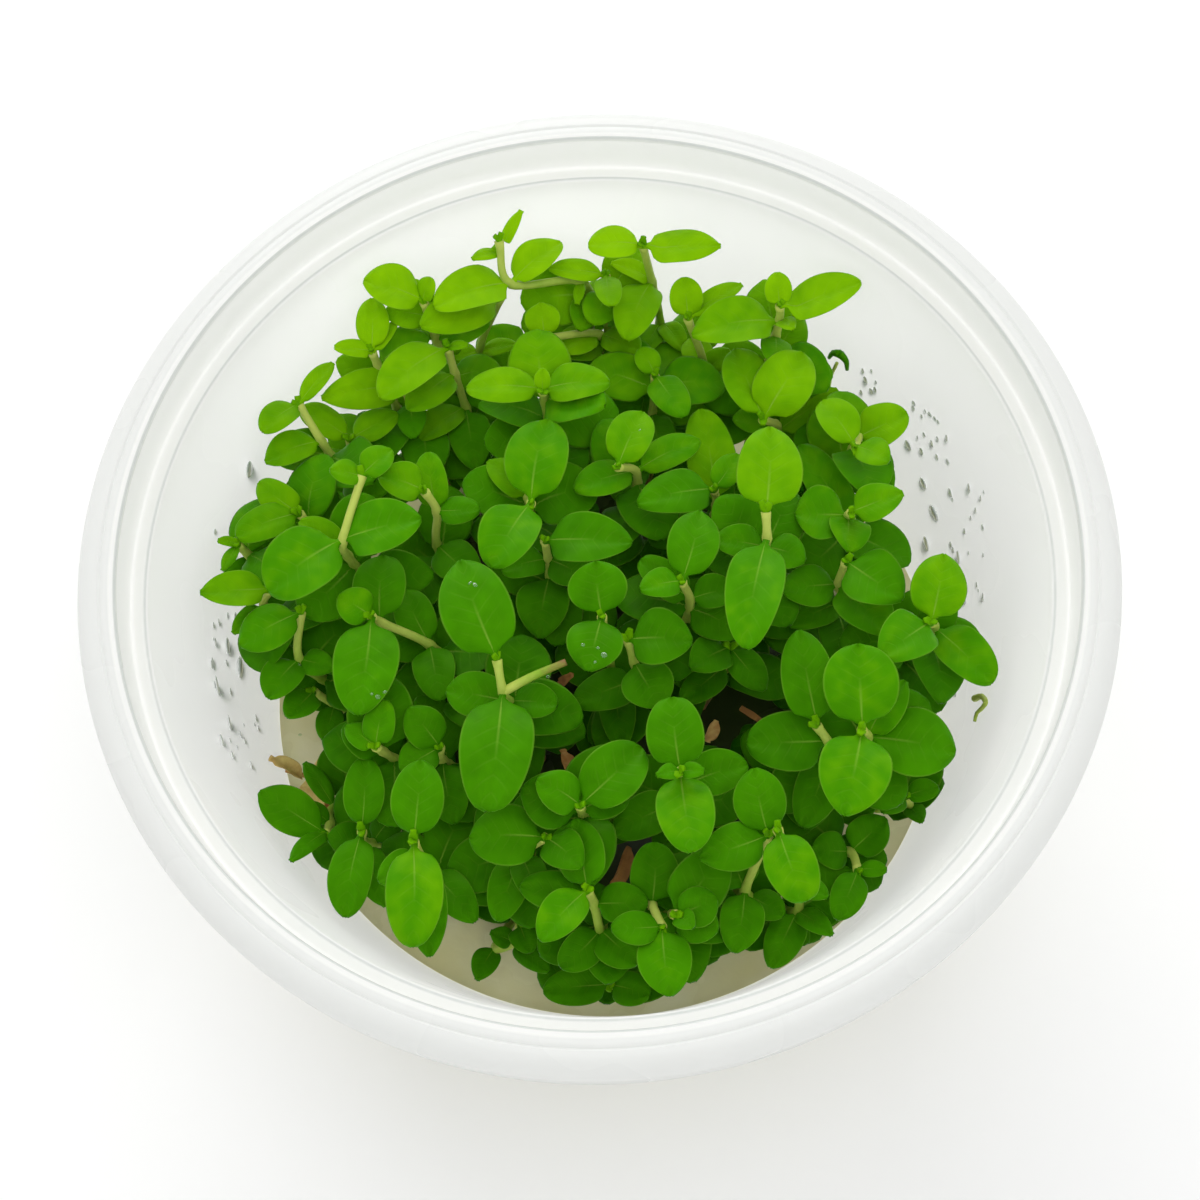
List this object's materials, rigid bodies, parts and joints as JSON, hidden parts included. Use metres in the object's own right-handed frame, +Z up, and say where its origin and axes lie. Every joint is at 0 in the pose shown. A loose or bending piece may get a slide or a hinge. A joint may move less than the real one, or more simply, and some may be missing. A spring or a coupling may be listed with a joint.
{
  "type": "creeping jenny in a tissue-culture cup",
  "caption": "Round tapered cup with a stepped, rolled rim, part filled with set nutrient gel from which small leafy aquarium-plant shoots grow",
  "frame": {"origin": "centre of the cup's foot ring, at the level it stands on", "axes": "+Z up along the cup's axis, the side nearest the viewer faces -Y, +X to the right"},
  "size_m": [0.1, 0.1, 0.06],
  "materials": {
    "cup_plastic": "thin translucent white moulded plastic, satin outside and in",
    "gel": "set nutrient gel, soft, moist and slightly cloudy, warm beige",
    "leaf": "living leaf and stem, smooth, satin yellow-green"
  },
  "bodies": {
    "root": {"cup": "cup_plastic", "nutrient_gel": "gel", "shoot_01": "leaf", "shoot_02": "leaf", "shoot_03": "leaf", "shoot_04": "leaf", "shoot_05": "leaf", "shoot_06": "leaf", "shoot_07": "leaf", "shoot_08": "leaf", "shoot_09": "leaf", "shoot_10": "leaf", "shoot_11": "leaf", "shoot_12": "leaf", "shoot_13": "leaf", "shoot_14": "leaf", "shoot_15": "leaf", "shoot_16": "leaf", "shoot_17": "leaf", "shoot_18": "leaf", "shoot_19": "leaf", "shoot_20": "leaf", "shoot_21": "leaf", "shoot_22": "leaf", "shoot_23": "leaf", "shoot_24": "leaf", "shoot_25": "leaf", "shoot_26": "leaf", "shoot_27": "leaf", "shoot_28": "leaf", "shoot_29": "leaf", "shoot_30": "leaf", "shoot_31": "leaf", "shoot_32": "leaf", "shoot_33": "leaf", "shoot_34": "leaf", "shoot_35": "leaf", "shoot_36": "leaf", "shoot_37": "leaf", "shoot_38": "leaf", "shoot_39": "leaf", "shoot_40": "leaf", "shoot_41": "leaf", "shoot_42": "leaf", "shoot_43": "leaf", "shoot_44": "leaf", "shoot_45": "leaf", "shoot_46": "leaf", "shoot_47": "leaf", "shoot_48": "leaf", "shoot_49": "leaf", "shoot_50": "leaf", "shoot_51": "leaf", "shoot_52": "leaf", "shoot_53": "leaf", "shoot_54": "leaf", "shoot_55": "leaf", "shoot_56": "leaf", "shoot_57": "leaf"}
  },
  "joints": []
}
